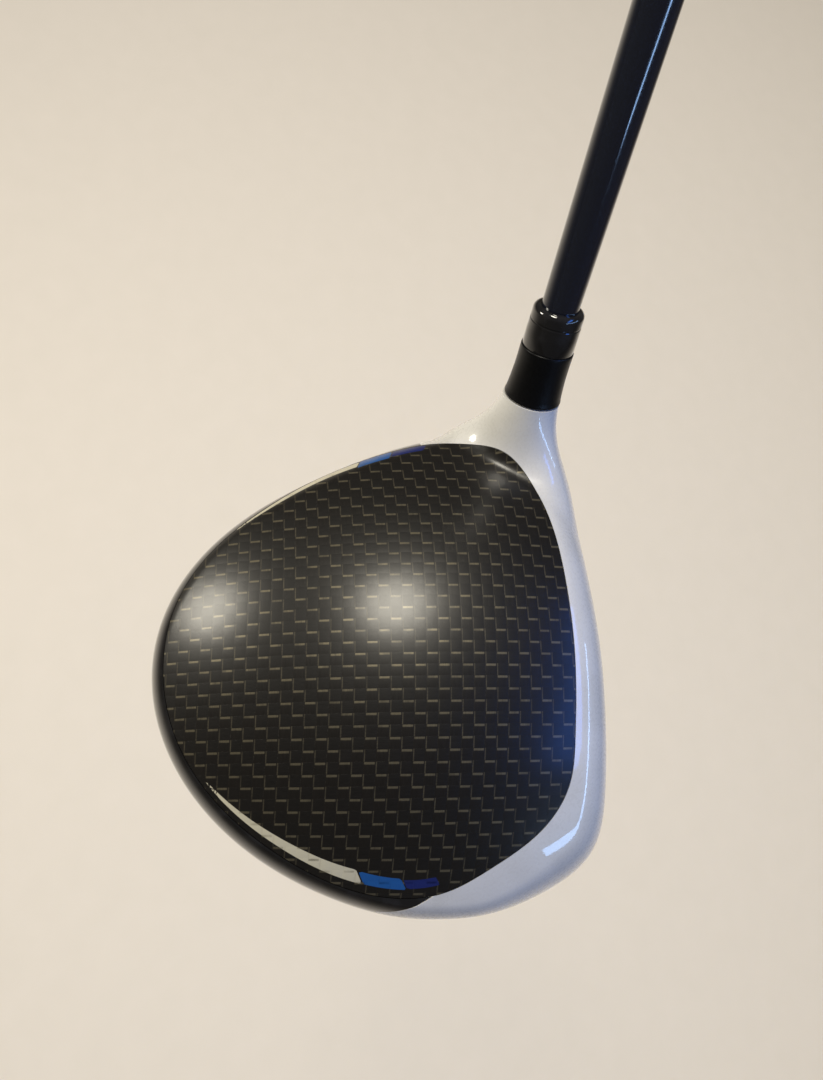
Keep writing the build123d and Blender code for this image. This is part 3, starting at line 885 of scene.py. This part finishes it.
ferrule = lathe("ferrule_ring", (
    [(4.5, 13.95), (6.1, 13.95)] + arc((6.1, 14.15), 0.2, -90, 0, 4)
    + [(6.28, 18), (6.2, 20.4), (6.08, 20.55), (6.08, 20.8), (6.18, 20.95)]
    + arc((4.85, 22.85), 1.3, 0, 90, 10) + [(4.5, FERRULE_TOP)]
), 128)
place(ferrule, "shaft_assembly", "ferrule_plastic", black_plastic, "ferrule")

SHAFT_TIP = -16.5        # station of the shaft's lower end, inside the sleeve


def shaft_radius(s):
    stations = [SHAFT_TIP, 0, FERRULE_TOP, SHAFT_TOP]
    return np.interp(s, stations, [TIP_RADIUS, TIP_RADIUS, LOW_RADIUS, BUTT_RADIUS])


shaft_stations = np.concatenate([[SHAFT_TIP, 0], np.linspace(FERRULE_TOP, SHAFT_TOP, 60)])
shaft = lathe("shaft_tube", (
    [(2.2, SHAFT_TIP)] + [(shaft_radius(s), s) for s in shaft_stations] + [(6.95, SHAFT_TOP)]
), 96)
place(shaft, "shaft_assembly", "shaft_paint", shaft_paint(), "shaft")


DIAMOND_LENGTH = 3.2
DIAMONDS_AROUND = 14
DIAMOND_DEPTH = 0.32


def grip_pattern(r, s, angles):
    """Small diamond recesses over the grip, with plain bands at its ends and middle."""
    plain_end = r < 9.0 or s < GRIP_BOTTOM + 8 or s > SHAFT_TOP - 10
    plain_middle = abs((s - GRIP_BOTTOM) - 150) < 6
    if plain_end or plain_middle:
        return np.zeros_like(angles)
    rows = s / DIAMOND_LENGTH * pi
    a = np.cos(angles * DIAMONDS_AROUND + rows)
    b = np.cos(angles * DIAMONDS_AROUND - rows)
    return -DIAMOND_DEPTH * smooth_step((a * b - 0.25) / 0.5)


grip_s = np.arange(GRIP_BOTTOM + 1.4, SHAFT_TOP - 0.3, 0.8)
grip_r = np.interp(grip_s, [GRIP_BOTTOM, GRIP_BOTTOM + 110, SHAFT_TOP - 60, SHAFT_TOP - 12],
                   [9.6, 10.5, 12.5, 13.4])
grip = lathe("grip_sleeve", (
    [(shaft_radius(GRIP_BOTTOM) + 0.2, GRIP_BOTTOM)] + arc((8.6, GRIP_BOTTOM + 1.0), 1.0, -90, 0, 6)
    + list(zip(grip_r, grip_s)) + [(13.4, SHAFT_TOP), (7.85, SHAFT_TOP)]
), 168, grip_pattern)
place(grip, "shaft_assembly", "grip_rubber", dark_rubber, "grip")

cap = lathe("butt_cap", (
    [(1.5, SHAFT_TOP + 0.1), (13.3, SHAFT_TOP + 0.1)] + arc((10.8, BUTT_END - 2.6), 2.6, 0, 80, 10)
    + [(6.5, BUTT_END - 0.02), (6.2, BUTT_END - 0.35), (5.8, BUTT_END - 0.35), (5.5, BUTT_END - 0.02),
       (1.9, BUTT_END), (1.5, BUTT_END - 0.4)]
), 128)
place(cap, "shaft_assembly", "grip_rubber", dark_rubber, "grip_cap")

# ---- CAD nodes that stay --------------------------------------------------------------------
kept = {
    "face_plate": brushed("face metal", (0.30, 0.31, 0.33), 0.30, (6.0, 6.0, 0.2)),
    "face_port_screws": brushed("plug metal", (0.05, 0.16, 0.45), 0.3),
    "slot_insert": rubber("soft insert", (0.012, 0.05, 0.13)),
    "weight_housing": gloss_black("housing black", rough=0.3, grain=2.0),
    "rear_weight": brushed("weight steel", (0.42, 0.43, 0.45), 0.28, (3.0, 3.0, 3.0)),
    "rear_weight_screw": steel,
    "hosel_screw": steel,
    "screw_washer": steel,
    "screw_retainer": rubber("retainer nylon", (0.55, 0.53, 0.48)),
    "tip_plug": dark_rubber,
    "grip_tape": cloth_tape(),
}
for name, material in kept.items():
    node[name].data.materials.clear()
    node[name].data.materials.append(material)


# ---- floor, lights and camera ----------------------------------------------------------------
FLOOR_LEVEL = -1300.0    # far below the club, so that it gets no shadow
FLOOR_REACH = 9000.0


def floor():
    look = Look("pale floor")
    grain = look.noise(0.02, 3)
    look.set(Base_Color=look.mix(grain, (0.63, 0.575, 0.49), (0.66, 0.60, 0.515)), Roughness=0.9,
             Specular_IOR_Level=0.1)
    look.bump(look.noise(0.6, 3), 0.05, 0.2)
    signs = ((-1, -1), (1, -1), (1, 1), (-1, 1))
    corners = [(i * FLOOR_REACH, j * FLOOR_REACH, FLOOR_LEVEL) for i, j in signs]
    sheet = make_object("pale_floor", corners, [(0, 1, 2, 3)])
    sheet.data.materials.append(look.material)


floor()


def lamp(name, target, direction, distance, size, power, colour, height=None):
    """Area light that shines on a target from a direction.

    The target is in millimetres; distance, size and height are in metres and power is in watts.
    """
    data = bpy.data.lights.new(name, "AREA")
    data.shape = "DISK" if height is None else "RECTANGLE"
    data.size = size
    if height is not None:
        data.size_y = height
    data.energy = power
    data.color = colour
    lamp_object = bpy.data.objects.new(name, data)
    bpy.context.scene.collection.objects.link(lamp_object)
    away = Vector(direction).normalized()
    lamp_object.location = Vector(target) * MM + away * distance
    lamp_object.rotation_euler = away.to_track_quat("Z", "Y").to_euler()
    return lamp_object


# The two round lamps make the two soft spots on the crown. The window and the strip of sky make the
# bright line along the white front and the blue sheen behind it.
lamp("ceiling lamp", (8, 22, 57), (0.348, 0.26, 0.901), 1.6, 0.50, 15, (1.0, 0.94, 0.80))
lamp("second lamp", (9, 63, 38), (0.332, 0.91, 0.249), 1.6, 0.46, 11, (1.0, 0.94, 0.80))
lamp("window", (-20, -30, 55), (-0.40, -0.80, 0.44), 1.4, 1.9, 5.5, (0.35, 0.58, 1.0), height=0.09)
lamp("blue sky", (-15, -20, 58), (-0.09, -0.60, 0.79), 1.4, 1.3, 5, (0.06, 0.24, 1.0), height=0.24)
fill = lamp("fill", (0, 20, 50), (0.5, 0.1, 0.86), 2.4, 2.2, 7, (1.0, 0.93, 0.82))
wash = lamp("floor wash", (500, -300, -250), (0, 0, -1), 0.0, 5.0, 72, (1.0, 0.975, 0.935), height=5.0)
wash.rotation_euler = (0, 0, 0)     # straight down on the floor
for soft in (fill, wash):
    soft.visible_glossy = False
    soft.visible_camera = False

world = bpy.data.worlds.new("room")
world.use_nodes = True
backdrop = world.node_tree.nodes["Background"]
backdrop.inputs["Color"].default_value = (0.80, 0.74, 0.66, 1.0)
backdrop.inputs["Strength"].default_value = 0.10
scene = bpy.context.scene
scene.world = world
scene.view_settings.view_transform = "Standard"

camera_data = bpy.data.cameras.new("camera")
camera_data.sensor_fit = "AUTO"
camera_data.sensor_width = 36.0
camera_data.lens = 27.2
camera_data.clip_start = 0.01
camera = bpy.data.objects.new("camera", camera_data)
camera.location = Vector((-26.4, 59.2, 234.6)) * MM
camera.rotation_euler = Euler((radians(15.466), radians(-12.761), radians(-90.805)), "XYZ")
scene.collection.objects.link(camera)
scene.camera = camera
